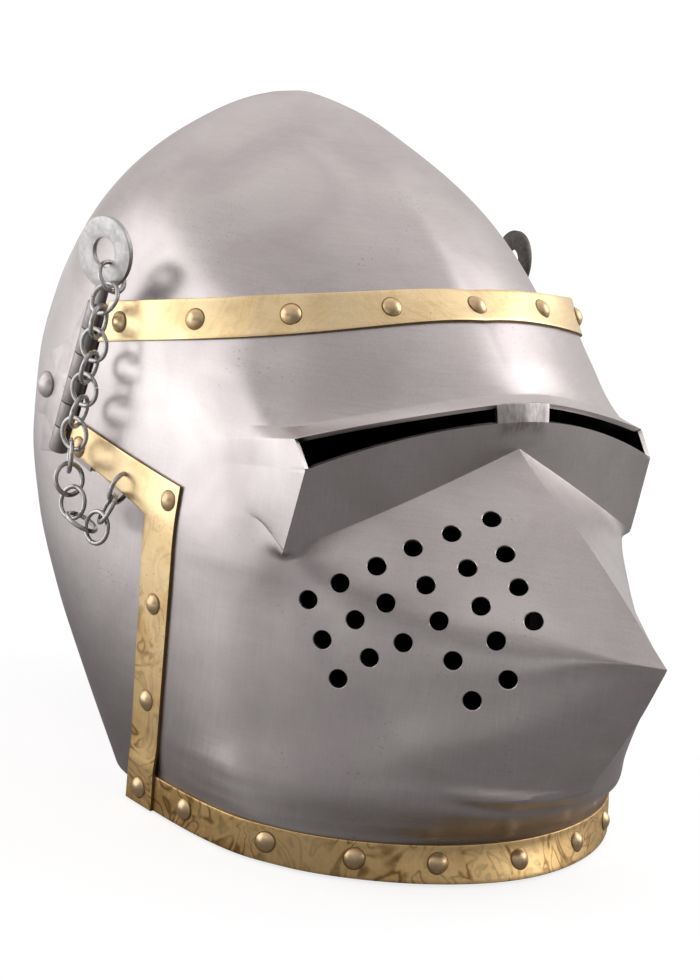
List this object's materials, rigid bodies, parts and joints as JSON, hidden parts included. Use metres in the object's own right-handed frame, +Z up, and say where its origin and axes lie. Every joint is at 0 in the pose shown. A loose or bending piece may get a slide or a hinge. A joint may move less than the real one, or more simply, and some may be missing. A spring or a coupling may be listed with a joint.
{
  "type": "visored bascinet helmet",
  "caption": "Medieval steel bascinet with a beaked visor that lifts on side pivots, pull-out hinge pins on chains, and riveted brass bands.",
  "frame": {"origin": "middle of the footprint box, on the surface that the skull's rim stands on", "axes": "+X to the wearer's left, -Y to the front where the beak points, +Z up"},
  "size_m": [0.2382, 0.3424, 0.271],
  "materials": {
    "plate_steel": "satin hand-brushed",
    "hinge_steel": "dull dark",
    "pin_steel": "dull mottled",
    "chain_steel": "bright",
    "band_brass": "lightly patinated",
    "rivet_brass": "satin"
  },
  "bodies": {
    "skull_body": {"skull": "plate_steel", "right_pivot_rivet": "hinge_steel", "left_pivot_rivet": "hinge_steel", "right_pivot_spacer": "hinge_steel", "left_pivot_spacer": "hinge_steel", "right_pivot_burr": "hinge_steel", "left_pivot_burr": "hinge_steel"},
    "visor_body": {"visor_plate": "plate_steel", "top_band": "band_brass", "bottom_band": "band_brass", "right_side_band": "band_brass", "left_side_band": "band_brass", "top_band_rivets": "rivet_brass", "bottom_band_rivets": "rivet_brass", "right_side_rivets": "rivet_brass", "left_side_rivets": "rivet_brass", "right_front_leaf": "hinge_steel", "left_front_leaf": "hinge_steel", "right_rear_leaf": "hinge_steel", "left_rear_leaf": "hinge_steel", "right_chain": "chain_steel", "left_chain": "chain_steel"},
    "right_pin_body": {"right_hinge_pin": "pin_steel", "right_pin_washer": "pin_steel"},
    "left_pin_body": {"left_hinge_pin": "pin_steel", "left_pin_washer": "pin_steel"}
  },
  "joints": [
    {"name": "visor_raise", "type": "hinge", "parent": "skull_body", "child": "visor_body", "pos_m": [0, 0.0952, 0.145], "axis": [-1, 0, 0], "range_deg": [0, 90]},
    {"name": "right_pin_pull", "type": "slide", "parent": "visor_body", "child": "right_pin_body", "axis": [0, -0.2447, 0.9696], "range_m": [0, 0.067], "deforming": ["right_chain"]},
    {"name": "left_pin_pull", "type": "slide", "parent": "visor_body", "child": "left_pin_body", "axis": [0, -0.2447, 0.9696], "range_m": [0, 0.067], "deforming": ["left_chain"]}
  ]
}
